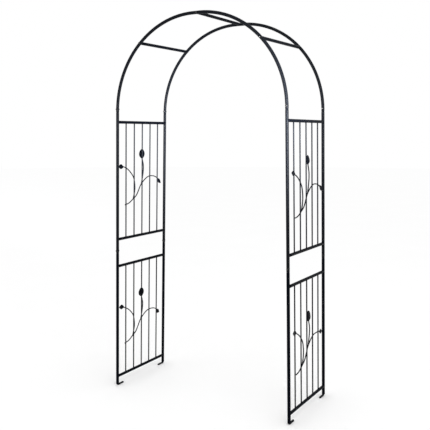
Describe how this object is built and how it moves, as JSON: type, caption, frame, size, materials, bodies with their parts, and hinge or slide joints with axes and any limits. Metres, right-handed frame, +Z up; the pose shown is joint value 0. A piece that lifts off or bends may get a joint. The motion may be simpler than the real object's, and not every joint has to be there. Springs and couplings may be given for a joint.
{
  "type": "metal trellis arch",
  "caption": "Free-standing garden arch of round steel tube, with barred side panels that carry rose vine sprays and hoops joined by crossbars.",
  "frame": {"origin": "middle of the footprint, on the ground", "axes": "+X across the walkway to the right side panel, +Y through the arch from the front hoop to the back hoop, +Z up"},
  "size_m": [1.2426, 0.5414, 2.3235],
  "materials": {
    "black_frame_coat": "satin black powder coat with a cool slate sheen",
    "black_bar_coat": "satin black powder coat on thin bar",
    "black_vine_coat": "satin black powder coat over pressed and welded steel",
    "black_fastener": "black glossy coated fastener"
  },
  "bodies": {
    "root": {"leg_lower_left_front": "black_frame_coat", "leg_upper_left_front": "black_frame_coat", "bolt_mid_left_front": "black_fastener", "bolt_top_left_front": "black_fastener", "foot_left_front": "black_frame_coat", "leg_lower_left_back": "black_frame_coat", "leg_upper_left_back": "black_frame_coat", "bolt_mid_left_back": "black_fastener", "bolt_top_left_back": "black_fastener", "foot_left_back": "black_frame_coat", "rail_left_lower_bottom": "black_frame_coat", "rail_left_lower_top": "black_frame_coat", "bar_left_lower_1": "black_bar_coat", "bar_left_lower_2": "black_bar_coat", "bar_left_lower_3": "black_bar_coat", "bar_left_lower_4": "black_bar_coat", "bar_left_lower_5": "black_bar_coat", "vine_left_lower": "black_vine_coat", "rail_left_upper_bottom": "black_frame_coat", "rail_left_upper_top": "black_frame_coat", "bar_left_upper_1": "black_bar_coat", "bar_left_upper_2": "black_bar_coat", "bar_left_upper_3": "black_bar_coat", "bar_left_upper_4": "black_bar_coat", "bar_left_upper_5": "black_bar_coat", "vine_left_upper": "black_vine_coat", "leg_lower_right_front": "black_frame_coat", "leg_upper_right_front": "black_frame_coat", "bolt_mid_right_front": "black_fastener", "bolt_top_right_front": "black_fastener", "foot_right_front": "black_frame_coat", "leg_lower_right_back": "black_frame_coat", "leg_upper_right_back": "black_frame_coat", "bolt_mid_right_back": "black_fastener", "bolt_top_right_back": "black_fastener", "foot_right_back": "black_frame_coat", "rail_right_lower_bottom": "black_frame_coat", "rail_right_lower_top": "black_frame_coat", "bar_right_lower_1": "black_bar_coat", "bar_right_lower_2": "black_bar_coat", "bar_right_lower_3": "black_bar_coat", "bar_right_lower_4": "black_bar_coat", "bar_right_lower_5": "black_bar_coat", "vine_right_lower": "black_vine_coat", "rail_right_upper_bottom": "black_frame_coat", "rail_right_upper_top": "black_frame_coat", "bar_right_upper_1": "black_bar_coat", "bar_right_upper_2": "black_bar_coat", "bar_right_upper_3": "black_bar_coat", "bar_right_upper_4": "black_bar_coat", "bar_right_upper_5": "black_bar_coat", "vine_right_upper": "black_vine_coat", "hoop_front_left": "black_frame_coat", "hoop_front_right": "black_frame_coat", "hoop_back_left": "black_frame_coat", "hoop_back_right": "black_frame_coat", "crossbar_left": "black_frame_coat", "crossbar_top": "black_frame_coat", "crossbar_right": "black_frame_coat"}
  },
  "joints": []
}
